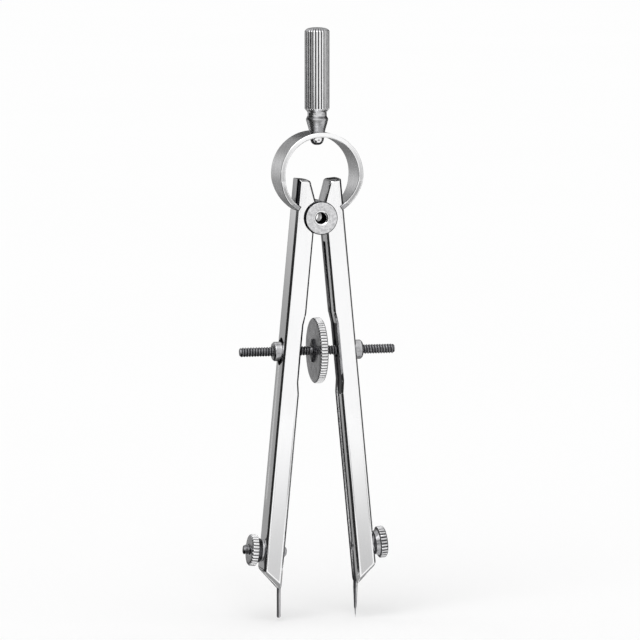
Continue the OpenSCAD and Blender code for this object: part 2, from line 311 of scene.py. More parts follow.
def make_mesh(name, points, faces):
    """Mesh in metres from millimetre points, with its faces turned outwards."""
    mesh = bpy.data.meshes.new(name)
    mesh.from_pydata([Vector(p) * MM for p in points], [], faces)
    mesh.update()
    shell = bpy.data.objects.new(name, mesh)
    bpy.context.scene.collection.objects.link(shell)
    bpy.context.view_layer.objects.active = shell
    shell.select_set(True)
    bpy.ops.object.mode_set(mode="EDIT")
    bpy.ops.mesh.select_all(action="SELECT")
    bpy.ops.mesh.normals_make_consistent(inside=False)
    bpy.ops.object.mode_set(mode="OBJECT")
    shell.select_set(False)
    return shell


def cut(piece, cutters):
    """Takes the cutters out of the piece, working in millimetres, then removes them."""
    for body in [piece] + cutters:
        body.data.transform(Matrix.Scale(1 / MM, 4))
        place = body.matrix_world.copy()
        place.translation /= MM
        body.matrix_world = place
    for cutter in cutters:
        step = piece.modifiers.new(cutter.name, "BOOLEAN")
        step.operation = "DIFFERENCE"
        step.solver = "MANIFOLD"
        step.object = cutter
    bpy.context.view_layer.update()
    graph = bpy.context.evaluated_depsgraph_get()
    whole = bpy.data.meshes.new_from_object(piece.evaluated_get(graph))
    whole.name = piece.name
    whole.transform(Matrix.Scale(MM, 4))
    piece.modifiers.clear()
    piece.data = whole
    for cutter in cutters:
        bpy.data.objects.remove(cutter)


def dress(piece, material, place, sharp=32):
    """Finish, place and smooth shading of a piece, with edges sharper than some degrees kept."""
    piece.data.materials.clear()
    piece.data.materials.append(material)
    for face in piece.data.polygons:
        face.use_smooth = True
        face.material_index = 0
    piece.data.set_sharp_from_angle(angle=math.radians(sharp))
    piece.matrix_world = place
    flat = piece.modifiers.new("even_faces", "WEIGHTED_NORMAL")
    flat.keep_sharp = True
    flat.weight = 80


def shade(piece, material, chosen):
    """Another finish, painted shade or painted highlight for the faces that chosen(x, y, z, normal) picks, in
    the piece's own millimetres.
    """
    piece.data.materials.append(material)
    index = len(piece.data.materials) - 1
    for face in piece.data.polygons:
        if chosen(*(face.center / MM), face.normal):
            face.material_index = index


def hang(piece, body, node):
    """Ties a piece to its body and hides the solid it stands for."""
    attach(piece, body)
    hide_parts(node)


def turned(name, profile, segments, place, material, body, node, limit=None, sharp=32):
    """Lathe-turned piece, placed, dressed and tied."""
    piece = make_mesh(name, *lathe(profile, segments, limit))
    dress(piece, material, place, sharp)
    hang(piece, body, node)
    return piece


def prism(name, outline, low, high, place=UNMOVED):
    """Cutter with an outline in X and Z, from low to high in Y."""
    count = len(outline)
    points = [(x, low, z) for x, z in outline] + [(x, high, z) for x, z in outline]
    ends = [list(range(count)), list(range(2 * count - 1, count - 1, -1))]
    body = make_mesh(name, points, ends + side_faces(2, count))
    body.matrix_world = place
    return body


def round_cutter(name, radius, low, high, place, segments=64):
    """Cylinder cutter about Z, from low to high."""
    body = make_mesh(name, *lathe([(0, low), (radius, low), (radius, high), (0, high)], segments))
    body.matrix_world = place
    return body


def inset(outline, depths):
    """Closed outline with each edge moved inwards by one depth at its start and another at its end."""
    count = len(outline)
    area = sum(outline[i - 1][0] * outline[i][1] - outline[i][0] * outline[i - 1][1] for i in range(count))
    side = 1 if area > 0 else -1
    edges = []
    for i, (first, last) in enumerate(depths):
        start = Vector(outline[i])
        end = Vector(outline[(i + 1) % count])
        along = (end - start).normalized()
        inward = Vector((-along[1], along[0])) * side
        edges.append((start + inward * first, end + inward * last))
    moved = []
    for i in range(count):
        start, end = edges[i]
        before, before_end = edges[i - 1]
        way = end - start
        before_way = before_end - before
        gap = before - start
        cross = way[0] * before_way[1] - way[1] * before_way[0]
        moved.append(start + way * ((gap[0] * before_way[1] - gap[1] * before_way[0]) / cross))
    return moved


def bevelled_plate(name, corners, section):
    """Plate with corners in X and Z and one section all round, with a larger bevel at the foot's tip."""
    levels = [(depth, -y) for depth, y in reversed(section)] + section[1:]
    points = []
    for depth, y in levels:
        sunk = abs(y) - LEG_HALF + max(0.0, depth - FACE_EDGE)
        foot = (max(depth, sunk + FOOT_BEVEL), max(depth, sunk + FOOT_FADE * FOOT_BEVEL))
        depths = [foot] + [(depth, depth)] * (len(corners) - 1)
        corner = 0.3 - 0.45 * depth if depth < BEVEL else 0.06 + 0.7 * (depth - BEVEL)
        points += [(x, y, z) for x, z in fillet(inset(corners, depths), corner, 3, True)]
    count = len(points) // len(levels)
    ends = [list(range(count)), list(range(len(points) - 1, len(points) - count - 1, -1))]
    return make_mesh(name, points, ends + side_faces(len(levels), count))


def stretched_noise(nodes, links, coordinates, stretch, detail):
    """Noise stretched along the piece, in waves per metre."""
    mapping = nodes.new("ShaderNodeMapping")
    mapping.inputs["Scale"].default_value = stretch
    noise = nodes.new("ShaderNodeTexNoise")
    noise.inputs["Scale"].default_value = 1.0
    noise.inputs["Detail"].default_value = detail
    noise.inputs["Roughness"].default_value = 0.6
    links.new(coordinates, mapping.inputs["Vector"])
    links.new(mapping.outputs["Vector"], noise.inputs["Vector"])
    return noise.outputs["Fac"]


def spread(nodes, links, value, low, high):
    """Noise value spread over a range."""
    node = nodes.new("ShaderNodeMapRange")
    node.inputs["From Min"].default_value = 0.3
    node.inputs["From Max"].default_value = 0.7
    node.inputs["To Min"].default_value = low
    node.inputs["To Max"].default_value = high
    links.new(value, node.inputs["Value"])
    return node.outputs["Result"]


def finish_of(name, bright, dull, rough, grain, patches, relief, metallic=1.0):
    """Procedural finish: colour drifts between two tones, fine grain sets the roughness and the relief."""
    material = bpy.data.materials.new(name)
    material.use_nodes = True
    nodes = material.node_tree.nodes
    links = material.node_tree.links
    shader = nodes["Principled BSDF"]
    shader.inputs["Metallic"].default_value = metallic
    coordinates = nodes.new("ShaderNodeTexCoord").outputs["Object"]
    fine = stretched_noise(nodes, links, coordinates, grain, 6)
    broad = stretched_noise(nodes, links, coordinates, patches, 4)
    ramp = nodes.new("ShaderNodeValToRGB")
    ramp.color_ramp.elements[0].position = 0.32
    ramp.color_ramp.elements[0].color = (*dull, 1)
    ramp.color_ramp.elements[1].position = 0.68
    ramp.color_ramp.elements[1].color = (*bright, 1)
    links.new(broad, ramp.inputs["Fac"])
    links.new(ramp.outputs["Color"], shader.inputs["Base Color"])
    links.new(spread(nodes, links, fine, *rough), shader.inputs["Roughness"])
    bump = nodes.new("ShaderNodeBump")
    bump.inputs["Strength"].default_value = 0.5
    bump.inputs["Distance"].default_value = relief * MM
    links.new(fine, bump.inputs["Height"])
    links.new(bump.outputs["Normal"], shader.inputs["Normal"])
    return material


# Finishes, among them painted shade and painted highlights: bright and dull tone, range of roughness, waves
# per metre of grain and patches, relief.
bright_nickel = finish_of("bright_nickel", (0.975, 0.975, 0.98), (0.94, 0.94, 0.945), (0.05, 0.14),
                          (5000, 5000, 90), (260, 260, 60), 0.002)
spring_steel = finish_of("spring_steel", (0.80, 0.80, 0.81), (0.70, 0.70, 0.71), (0.16, 0.30),
                         (900, 4500, 900), (300, 500, 300), 0.003)
satin_nickel = finish_of("satin_nickel", (0.74, 0.74, 0.75), (0.60, 0.60, 0.61), (0.16, 0.32),
                         (1200, 1200, 5000), (700, 700, 350), 0.004)
# Pale nickel of the fluted grip, also a painted highlight on the crests of wheel and knob teeth and on the
# legs' inner sides.
pale_nickel_and_highlight = finish_of("pale_nickel_and_highlight", (0.96, 0.96, 0.965), (0.84, 0.84, 0.845), (0.12, 0.24),
                          (1200, 1200, 5000), (900, 900, 350), 0.004)
satin_disc = finish_of("satin_disc", (0.86, 0.86, 0.87), (0.52, 0.52, 0.53), (0.24, 0.42),
                       (3800, 3800, 3800), (1500, 1500, 1500), 0.006)
turned_steel = finish_of("turned_steel", (0.74, 0.74, 0.75), (0.54, 0.54, 0.55), (0.12, 0.26),
                         (700, 700, 6000), (500, 500, 900), 0.004)
dark_steel = finish_of("dark_steel", (0.38, 0.38, 0.39), (0.15, 0.15, 0.16), (0.20, 0.36),
                       (2500, 2500, 2500), (900, 900, 900), 0.006)
# Painted shade: near-black steel put in slots, recesses, gaps, thread roots and on the far sides of small
# parts; the hub takes it as its own dark steel.
painted_shade_and_dark_steel = finish_of("painted_shade_and_dark_steel", (0.10, 0.10, 0.105), (0.035, 0.035, 0.04), (0.30, 0.50),
                        (2500, 2500, 300), (900, 900, 200), 0.006)
# Painted shadow: black with damped reflections, for the shadow strip in the slot, the dark front of the bore,
# the disc's dark rim and the front of the ear's side.
painted_shadow_black = finish_of("painted_shadow_black", (0.05, 0.05, 0.055), (0.02, 0.02, 0.025), (0.40, 0.60),
                      (2500, 2500, 300), (900, 900, 200), 0.006)
painted_shadow_black.node_tree.nodes["Principled BSDF"].inputs["Specular Tint"].default_value = (0.06, 0.06, 0.06, 1)
# Painted half shade: grey for dimmed sides of the ears, the ring's ends, the grip's top and a knob's cone,
# and a lighter grey on a stud's inner end.
painted_half_shade = finish_of("painted_half_shade", (0.52, 0.52, 0.53), (0.30, 0.30, 0.31), (0.14, 0.30),
                      (3500, 3500, 120), (900, 900, 120), 0.004)
groove_shade = finish_of("groove_shade", (0.30, 0.30, 0.305), (0.11, 0.11, 0.115), (0.25, 0.45),
                         (2500, 2500, 2500), (900, 900, 900), 0.004)
grey_turning = finish_of("grey_turning", (0.58, 0.58, 0.59), (0.36, 0.36, 0.37), (0.20, 0.36),
                         (500, 500, 7000), (400, 400, 1500), 0.006)
graphite = finish_of("graphite", (0.10, 0.10, 0.105), (0.035, 0.035, 0.04), (0.38, 0.58),
                     (4000, 4000, 900), (1200, 1200, 300), 0.008, 0.35)
# Painted highlight on the lead's right side.
painted_highlight_graphite = finish_of("painted_highlight_graphite", (0.52, 0.52, 0.53), (0.36, 0.36, 0.37), (0.34, 0.50),
                            (4000, 4000, 900), (1200, 1200, 300), 0.006, 0.6)
needle_steel = finish_of("needle_steel", (0.70, 0.70, 0.71), (0.52, 0.52, 0.53), (0.12, 0.24),
                         (5000, 5000, 400), (900, 900, 200), 0.002)


def build_grip():
    """Fluted and domed grip on a waisted foot."""
    seat = RING_TOP + 0.05
    foot = fillet([(RIVET_R, seat), (CONE_R, RING_TOP - 0.12), (CONE_R, RING_TOP + 0.1),
                   (FLANGE_R, FLANGE_LOW), (FLANGE_R, FLANGE_TOP), (WAIST_R, WAIST_LOW),
                   (WAIST_R, WAIST_TOP), (GRIP_R - 0.3, GRIP_Z - 0.1), (GRIP_R, GRIP_Z + 0.3)], 0.22, 4)
    grip = [(GRIP_R, z) for z in even_steps(GRIP_Z + 0.5, GRIP_END - 1.1, 1.6)]
    shoulder = [(GRIP_R, GRIP_END - 1.0), (GRIP_R - 0.25, GRIP_END - 0.6), (GRIP_R - 0.8, GRIP_END - 0.25),
                (GRIP_R - 1.7, GRIP_END - 0.05)]
    dome = fillet(shoulder + [(0, GRIP_END)], 0.3, 4)
    flutes = grooves(GRIP_FLUTES, GRIP_R, FLUTE_DEPTH, FLUTE_REACH)

    def crest(z):
        for (wide, low), (narrow, high) in zip(shoulder, shoulder[1:]):
            if low < z <= high:
                return wide + (narrow - wide) * (z - low) / (high - low)
        return GRIP_R

    def fluted(angle, z):
        if z < GRIP_Z - 0.4 or z > GRIP_END - 0.06:
            return GRIP_R
        return crest(z) - GRIP_R + flutes(angle, z)

    piece = turned("handle_grip", [(0, seat)] + foot + grip + dome, GRIP_FLUTES * TOOTH_STEPS, UNMOVED,
                   pale_nickel_and_highlight, "head", "handle", fluted)
    # Painted shade on the dome's top, in the flutes' grooves and on the flange's upward slope; the waist and
    # foot take their own satin and grey turned finishes.
    shade(piece, painted_half_shade, lambda x, y, z, normal: z > GRIP_END - 0.8)
    shade(piece, groove_shade, lambda x, y, z, normal: GRIP_Z + 0.3 < z < GRIP_END - 0.2
          and math.hypot(x, y) < crest(z) - 0.04)
    shade(piece, satin_nickel, lambda x, y, z, normal: z < GRIP_Z)
    shade(piece, groove_shade, lambda x, y, z, normal: FLANGE_TOP - 0.05 < z < WAIST_LOW + 0.1
          and normal.z > 0.2)
    shade(piece, grey_turning, lambda x, y, z, normal: z < FLANGE_TOP + 0.05)


def build_rivet():
    """Domed rivet that holds the handle to the ring."""
    head_z = RING_TOP - RING_T
    base = head_z - RIVET_HEAD_H
    rivet = fillet([(0, base), (0.75, base + 0.05), (1.3, base + 0.4), (1.62, base + 0.95),
                    (RIVET_HEAD_R, base + 1.6), (RIVET_HEAD_R, head_z - 0.18), (RIVET_R, head_z - 0.06),
                    (RIVET_R, head_z + 1.0), (0, head_z + 1.0)], 0.3, 4)
    piece = turned("rivet_head", rivet, 48, UNMOVED, bright_nickel, "head", "handle_rivet")
    # Painted shade on the rivet head's sides and underside.
    shade(piece, painted_shade_and_dark_steel, lambda x, y, z, normal: abs(normal.x) > 0.72 or normal.z < -ROUGHLY)


def build_ring_half(name, side):
    """Half of the ring spring."""
    stops = [0.0, 0.15] + even_steps(1.5, 180 - RING_GAP, 1.5)
    inner = RING_R - RING_T
    points = []
    for stop in stops:
        angle = math.radians(stop)
        z = RING_Z + RING_R * math.cos(angle)
        share = min(1.0, max(0.0, (z - RING_END_Z) / (RING_TAPER_Z - RING_END_Z)))
        half = LEG_HALF + (RING_W / 2 - LEG_HALF) * share
        strip = [(inner, -half), (RING_R, -half), (RING_R, half), (inner, half)]
        for radius, y in fillet(strip, RING_ROUND, 4, True):
            points.append((side * radius * math.sin(angle), y, RING_Z + radius * math.cos(angle)))
    count = len(points) // len(stops)
    end = list(range(len(points) - count, len(points)))
    piece = make_mesh(name, points, [end] + side_faces(len(stops), count))
    dress(piece, spring_steel, UNMOVED)
    shade(piece, bright_nickel, lambda x, y, z, normal: abs(normal.y) > ROUGHLY)
    # Painted shade on the flat rims near the ring's ends.
    shade(piece, painted_half_shade, lambda x, y, z, normal: abs(normal.y) > ROUGHLY and z < RING_END_Z + 0.6)
    for face in piece.data.polygons:
        x, y, z = face.center / MM
        from_middle = abs(math.hypot(x, z - RING_Z) - RING_R + RING_T / 2)
        face.use_smooth = from_middle > RING_T / 2 - RING_ROUND
    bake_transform(piece)
    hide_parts("spring_ring")


def build_pivot():
    """Drilled spool between two satin cover discs."""
    end = PIVOT_HALF - DISC_T + FIX_GAP
    mouth = PIVOT_HALF - HOLE_CHAMFER
    spool = fillet([(HOLE_R, -mouth), (HOLE_R + HOLE_CHAMFER, -PIVOT_HALF), (BUSH_END_R, -PIVOT_HALF),
                    (BUSH_END_R, -end), (BUSH_R, -end), (BUSH_R, end), (BUSH_END_R, end),
                    (BUSH_END_R, PIVOT_HALF), (HOLE_R + HOLE_CHAMFER, PIVOT_HALF), (HOLE_R, mouth),
                    (HOLE_R, HOLE_SHADE_FROM)], 0.06, 2, True)
    bush = turned("pivot_spool", spool, 64, TO_FRONT, bright_nickel, "head", "pivot_bush")
    # Painted shade on the front part of the bore's wall.
    shade(bush, painted_shadow_black, lambda x, y, z, normal: math.hypot(x, y) < HOLE_R + 0.02 and z > HOLE_SHADE_FROM)
    rim = BUSH_END_R + FIX_GAP
    face = DISC_Y + DISC_T
    disc = fillet([(rim, DISC_Y), (DISC_R, DISC_Y), (DISC_R, face - DISC_CHAMFER),
                   (DISC_R - DISC_CHAMFER, face), (rim, face)], 0.12, 3, True)
    for name, place, node in (("front_cover", TO_FRONT, "front_disc"), ("rear_cover", TO_BACK, "rear_disc")):
        cover = turned(name, disc, 96, place, satin_disc, "head", node)
        # Painted shadow round the disc's edge.
        shade(cover, painted_shadow_black, lambda x, y, z, normal: math.hypot(x, y) > DISC_R - 0.22)


def leg_corners(side, length):
    """Corners of a leg in its own frame, mirrored for the left one."""
    middle = -NUT_DROP
    blunt_rise = FOOT_CUT * (1 - FOOT_BLUNT / (LEG_OUT - LEG_IN))
    corners = [(LEG_IN, -length), (LEG_OUT - FOOT_BLUNT, -length + blunt_rise),
               (LEG_OUT, -length + FOOT_CUT + FOOT_BLUNT), (LEG_OUT, EAR_TOP)]
    for across, down in ((EAR_ROUND, 0), (0.5, 0.14), (0.14, 0.5), (0, EAR_ROUND)):
        corners.append((EAR_IN + across, EAR_TOP - down))
    corners += [(LEG_IN, EAR_START), (LEG_IN, middle + RELIEF_HALF),
                (RELIEF_IN, middle + RELIEF_HALF - RELIEF_RAMP),
                (RELIEF_IN, middle - RELIEF_HALF + RELIEF_RAMP), (LEG_IN, middle - RELIEF_HALF)]
    return [(side * x, z) for x, z in corners]


def ring_notch_outline():
    """Outline of the room for the ring's end, in X and Z on the right of the frame."""
    angles = [math.radians(stop) for stop in even_steps(118, 180 - RING_GAP + 1.2, 1.0)]
    outer = RING_R + RUN_GAP
    inner = RING_R - RING_T - RUN_GAP
    far = [(outer * math.sin(a), RING_Z + outer * math.cos(a)) for a in angles]
    near = [(inner * math.sin(a), RING_Z + inner * math.cos(a)) for a in angles]
    return far + near[::-1]


def leg_cutters(side, leg_frame, clamp_drop):
    """Everything that is taken out of a leg."""
    def outline(points):
        return [(side * x, z) for x, z in points]

    low = -NUT_DROP - SPINDLE_R - 0.25
    high = -NUT_DROP + SPINDLE_R + 0.25
    inner_high = high + (LEG_OUT - LEG_IN) * math.tan(math.radians(SPINDLE_SWING))
    wedge = [(LEG_IN - 1, low), (LEG_OUT + 1, low), (LEG_OUT + 1, high), (LEG_OUT, high),
             (LEG_IN, inner_high), (LEG_IN - 1, inner_high)]
    mouth = SLOT_HALF + SLOT_FLARE
    flare = [(LEG_IN - 1, -mouth - 0.2), (LEG_IN, -mouth), (LEG_IN + SLOT_FLARE, -SLOT_HALF),
             (SLOT_FLOOR, -SLOT_HALF), (SLOT_FLOOR, SLOT_HALF),
             (LEG_IN + SLOT_FLARE, SLOT_HALF), (LEG_IN, mouth), (LEG_IN - 1, mouth + 0.2)]
    half = NUT_R + 0.2
    arc = [math.radians(a) for a in range(0, 181, 8)]
    stadium = [(half * math.cos(a), RECESS_HALF + half * math.sin(a)) for a in arc]
    stadium += [(-half * math.cos(a), -RECESS_HALF - half * math.sin(a)) for a in arc]
    level = TO_RIGHT if side > 0 else TO_LEFT
    recess_place = leg_frame @ shift(side * (LEG_OUT - RECESS_DEPTH), 0, -NUT_DROP) @ turn("Z", -90)
    return [
        round_cutter("pivot_seat", BUSH_R + RUN_GAP, -5, 5, leg_frame @ TO_FRONT, 96),
        prism("slot_cut", outline(flare), -SLOT_TOP, LEG_LENGTH + 1, leg_frame @ TO_FRONT @ turn("X", 180)),
        prism("spindle_slot", outline(wedge), -SPINDLE_R - 0.2, SPINDLE_R + 0.2, leg_frame),
        round_cutter("barrel_seat", BARREL_R + RUN_GAP, -NUT_R - RUN_GAP, NUT_R + RUN_GAP,
                     leg_frame @ shift(side * LEG_OUT, 0, -NUT_DROP) @ TO_FRONT),
        prism("nut_recess", stadium, 0 if side > 0 else -3, 3 if side > 0 else 0, recess_place),
        round_cutter("clamp_hole", STUD_R + FIX_GAP, 0, 8, leg_frame @ shift(0, 0, -clamp_drop) @ level),
        prism("ring_notch", outline(ring_notch_outline()), -LEG_HALF - 1, LEG_HALF + 1),
    ]


def shade_leg(leg, side):
    """Painted shade in the slot and recess, painted light and shade in bands along the inner side, and
    painted shade on the sides of the ear.
    """
    def in_slot(x, y, z):
        return (INNER_SKIN < side * x < OUTER_SKIN and abs(y) < SLOT_SHADE_HALF
                and SLOT_SHADE_END < z < SLOT_SHADE_TOP)

    def inner_side(x, z, normal, share):
        return side * x < INNER_SKIN and side * normal.x < -share and z < INNER_TOP

    shade(leg, painted_shade_and_dark_steel, lambda x, y, z, normal: in_slot(x, y, z))
    shade(leg, groove_shade, lambda x, y, z, normal: side > 0 and in_slot(x, y, z) and z < RELIEF_SHADE_END)
    shade(leg, pale_nickel_and_highlight, lambda x, y, z, normal: inner_side(x, z, normal, 0.7) and abs(y) < INNER_HALF)
    shade(leg, groove_shade, lambda x, y, z, normal: inner_side(x, z, normal, CLOSELY)
          and UPPER_BAND_Y < y < FLAT_HALF and z > RELIEF_SHADE_TOP)
    shade(leg, painted_shadow_black, lambda x, y, z, normal: inner_side(x, z, normal, CLOSELY)
          and LOWER_BAND_Y < y < FLAT_HALF and z < RELIEF_SHADE_END)
    shade(leg, painted_shade_and_dark_steel, lambda x, y, z, normal: side * normal.x < -ROUGHLY and abs(y) < FLAT_HALF
          and RELIEF_SHADE_END < z < RELIEF_SHADE_TOP)
    shade(leg, painted_shadow_black, lambda x, y, z, normal: side * normal.x > ROUGHLY
          and EAR_FRONT_Y < y < EAR_BAND_Y and z > EAR_SHADE_Z)
    shade(leg, painted_half_shade, lambda x, y, z, normal: side * normal.x > ROUGHLY
          and EAR_BAND_Y < y < EAR_BACK_Y and z > EAR_SHADE_Z)
    shade(leg, painted_half_shade, lambda x, y, z, normal: side * normal.x < -ROUGHLY and abs(y) < FLAT_HALF
          and z > EAR_START - 1)


def build_leg(name, side, leg_frame, length, clamp_drop, body):
    """Slotted leg with bevelled faces, a flared slot and a long recess around its swivel nut."""
    leg = bevelled_plate(name, leg_corners(side, length), LEG_SECTION)
    leg.matrix_world = leg_frame
    cut(leg, leg_cutters(side, leg_frame, clamp_drop))
    dress(leg, bright_nickel, leg_frame, 28)
    shade_leg(leg, side)
    hang(leg, body, body)


def build_spindle():
    """Spindle with opposite threads on its two halves."""
    plain = HUB_HALF + 0.2
    ends = SPINDLE_HALF - SPINDLE_CHAMFER
    end_r = SPINDLE_R - SPINDLE_CHAMFER

    def hand(height):
        if abs(height) < plain:
            return 0
        return 1 if height > 0 else -1

    profile = [(0, -SPINDLE_HALF), (end_r, -SPINDLE_HALF)]
    profile += [(SPINDLE_R, height) for height in even_steps(-ends, ends, THREAD_PITCH / 9)]
    profile += [(end_r, SPINDLE_HALF), (0, SPINDLE_HALF)]
    screw = turned("threaded_spindle", profile, 40, SPINDLE_FRAME, dark_steel, "spindle", "spindle",
                   thread(SPINDLE_R, THREAD_DEPTH, THREAD_PITCH, hand), 60)
    # Painted shade in the thread's roots.
    shade(screw, painted_shade_and_dark_steel, lambda x, y, z, normal: abs(z) < ends and math.hypot(x, y) < SPINDLE_R - 0.1)


def build_swivel_nuts():
    """Turned nuts outside the legs, each with a barrel across its back."""
    bore = SPINDLE_R + 0.05
    nut = [(bore, NUT_INNER_END)] + [(NUT_R, z) for z in even_steps(NUT_INNER_END, -0.2, 0.25)]
    nut += fillet([(NUT_R, 0.0), (NUT_R, NUT_STAND - 0.45), (NUT_R - 0.4, NUT_STAND),
                   (bore + 0.25, NUT_STAND), (bore, NUT_STAND - 0.25)], 0.1, 3)

    def barrel(angle, height):
        if height >= 0:
            return NUT_R
        return math.sqrt(BARREL_R ** 2 - height ** 2) / max(abs(math.cos(angle)), 0.05)

    for name, x, level in (("left_swivel_nut", -NUT_X, TO_LEFT), ("right_swivel_nut", NUT_X, TO_RIGHT)):
        turned("turned_" + name, nut, 64, shift(x, 0, NUT_Z) @ level, grey_turning, name, name,
               barrel)


def build_wheel():
    """Toothed adjusting wheel."""
    bore = SPINDLE_R + WHEEL_PLAY
    flat_r = WHEEL_R - 0.9
    face_r = WHEEL_R - WHEEL_CHAMFER
    edge = WHEEL_HALF - WHEEL_CHAMFER
    rim = fillet([(bore, -WHEEL_HALF), (flat_r, -WHEEL_HALF), (face_r, -WHEEL_HALF), (WHEEL_R, -edge),
                  (WHEEL_R, edge), (face_r, WHEEL_HALF), (flat_r, WHEEL_HALF), (bore, WHEEL_HALF)],
                 0.08, 3, True)
    wheel = turned("knurled_wheel", rim, WHEEL_TEETH * TOOTH_STEPS, SPINDLE_FRAME, satin_nickel,
                   "adjusting_wheel", "adjusting_wheel", grooves(WHEEL_TEETH, WHEEL_R, 0.25))
    crest = WHEEL_R - 0.11
    shade(wheel, grey_turning, lambda x, y, z, normal: abs(normal.z) > CLOSELY)
    # Painted highlight on the teeth's crests, and painted shade in their gaps and on the chamfers by the rim.
    shade(wheel, pale_nickel_and_highlight, lambda x, y, z, normal: abs(normal.z) < SQUARE and math.hypot(x, y) > crest)
    shade(wheel, groove_shade, lambda x, y, z, normal: abs(z) < WHEEL_HALF - 0.12
          and WHEEL_R - 0.5 < math.hypot(x, y) < crest)
    shade(wheel, painted_shade_and_dark_steel, lambda x, y, z, normal: SQUARE < abs(normal.z) < 0.95
          and math.hypot(x, y) > WHEEL_R - 0.35)


def build_hub():
    """Square hub that stands out on both sides of the wheel."""
    bore = SPINDLE_R + WHEEL_PLAY
    face_r = HUB_R - HUB_CHAMFER
    step = HUB_HALF - HUB_CHAMFER
    hub = fillet([(bore, -HUB_HALF), (face_r, -HUB_HALF), (HUB_R, -step), (HUB_R, step),
                  (face_r, HUB_HALF), (bore, HUB_HALF)], 0.08, 3, True)

    def square(angle, height):
        chamfer = max(0.0, abs(height) - step)
        corner = (angle % (math.pi / 2)) - math.pi / 4
        return min(HUB_R, (HUB_R / math.sqrt(2) - chamfer) / math.cos(corner))

    turned("square_hub", hub, 96, SPINDLE_FRAME, painted_shade_and_dark_steel, "adjusting_wheel", "adjusting_wheel",
           square)


def build_stud(word, side, seat, start, end):
    """Stud through a foot, threaded outside it and drilled for the foot's point."""
    end_r = STUD_R - STUD_CHAMFER
    rows = even_steps(start + STUD_CHAMFER, end - STUD_CHAMFER, 0.08)
    profile = [(0, start), (end_r, start)] + [(STUD_R, height) for height in rows]
    profile += [(end_r, end), (0, end)]
    limit = thread(STUD_R, STUD_GROOVE, STUD_PITCH, lambda height: 1 if height > LEG_OUT else 0)
    stud = make_mesh(word + "_stud", *lathe(profile, 36, limit))
    stud.matrix_world = seat
    eye_r = (LEAD_R if side < 0 else NEEDLE_R) + 2 * FIX_GAP
    cut(stud, [round_cutter("eye", eye_r, -LEG_LENGTH, -LEG_LENGTH / 2, shift(side * POINT_X, 0, 0), 32)])
    dress(stud, dark_steel, seat, 60)
    shade(stud, painted_half_shade, lambda x, y, z, normal: z < LEG_IN - 0.3)
    hang(stud, word + "_leg", word + "_clamp_stud")


def build_washer(word, side, seat):
    """Washer between a foot and its clamp nut."""
    eye = STUD_R + FIX_GAP
    low = LEG_OUT + FIX_GAP
    high = low + WASHER_T
    washer = fillet([(eye, low), (WASHER_R, low), (WASHER_R, high), (eye, high)], 0.1, 3, True)
    # The right washer takes painted shadow for the dark gap by its leg.
    turned(word + "_washer", washer, 64, seat, grey_turning if side < 0 else painted_shade_and_dark_steel,
           word + "_leg", word + "_clamp_washer")


def build_clamp_nut(word, side, seat):
    """Knurled nut with a cone towards its washer."""
    bore = STUD_R + 0.04
    knob = fillet([(bore, KNOB_X), (KNOB_R - 1.1, KNOB_X), (KNOB_R - 0.7, KNOB_SHOULDER),
                   (KNOB_R - 0.12, KNOB_SHOULDER), (KNOB_R, KNOB_SHOULDER + 0.12), (KNOB_R, KNOB_END - 0.35),
                   (KNOB_R - 0.35, KNOB_END), (bore + 0.25, KNOB_END), (bore, KNOB_END - 0.25)], 0.1, 3, True)
    nut = turned(word + "_knob", knob, KNOB_TEETH * TOOTH_STEPS, seat, turned_steel, word + "_clamp_nut",
                 word + "_clamp_nut", grooves(KNOB_TEETH, KNOB_R, 0.3))
    crest = KNOB_R - 0.14

    def toothed(z, normal):
        return z > KNOB_SHOULDER + 0.1 and abs(normal.z) < SQUARE

    # Painted shade in the gaps between the teeth and on the nut's side towards the washer; the left nut's
    # crests take a painted highlight and the right nut's cone painted half shade.
    shade(nut, groove_shade if side < 0 else painted_shade_and_dark_steel,
          lambda x, y, z, normal: toothed(z, normal) and math.hypot(x, y) < crest)
    shade(nut, painted_shade_and_dark_steel, lambda x, y, z, normal: z < KNOB_SHOULDER + 0.08)
    if side < 0:
        shade(nut, pale_nickel_and_highlight, lambda x, y, z, normal: toothed(z, normal) and math.hypot(x, y) >= crest)
    else:
        shade(nut, painted_half_shade, lambda x, y, z, normal: KNOB_X + 0.4 < z < KNOB_SHOULDER - 0.4)


def build_clamp(word, side, leg_frame, drop, stud_from, stud_to):
    """Threaded stud, washer and knurled nut on the outer side of a foot."""
    seat = leg_frame @ shift(0, 0, -drop) @ (TO_RIGHT if side > 0 else TO_LEFT)
    build_stud(word, side, seat, stud_from, stud_to)
    build_washer(word, side, seat)
    build_clamp_nut(word, side, seat)


def build_lead():
    """Lead in the left foot, with a painted highlight on its right."""
    lead = [(0, LEAD_TIP), (LEAD_R - 0.15, LEAD_TIP), (LEAD_R - 0.05, LEAD_TIP + 0.12),
            (LEAD_R, LEAD_TIP + 0.3)]
    lead += [(LEAD_R, z) for z in even_steps(LEAD_TIP + 0.8, POINT_TOP - 0.2, 1.5)]
    lead += [(LEAD_R - 0.1, POINT_TOP), (0, POINT_TOP)]
    piece = turned("graphite_lead", lead, 32, shift(-POINT_X, 0, 0), graphite, "lead", "lead",
                   sharp=50)
    shade(piece, painted_highlight_graphite, lambda x, y, z, normal: normal.x >= -0.15)


def build_needle():
    """Shouldered needle in the right foot, with painted shade on its left."""
    tip = NEEDLE_TIP
    needle = fillet([(0, tip), (0.2, tip + 2.3), (0.34, tip + 2.6), (NEEDLE_R, tip + 7.6),
                     (NEEDLE_R, POINT_TOP), (0, POINT_TOP)], 0.15, 3)
    piece = turned("shouldered_needle", needle, 32, shift(POINT_X, 0, 0), needle_steel,
                   "needle", "needle", sharp=50)
    shade(piece, painted_shade_and_dark_steel, lambda x, y, z, normal: normal.x < -0.05)


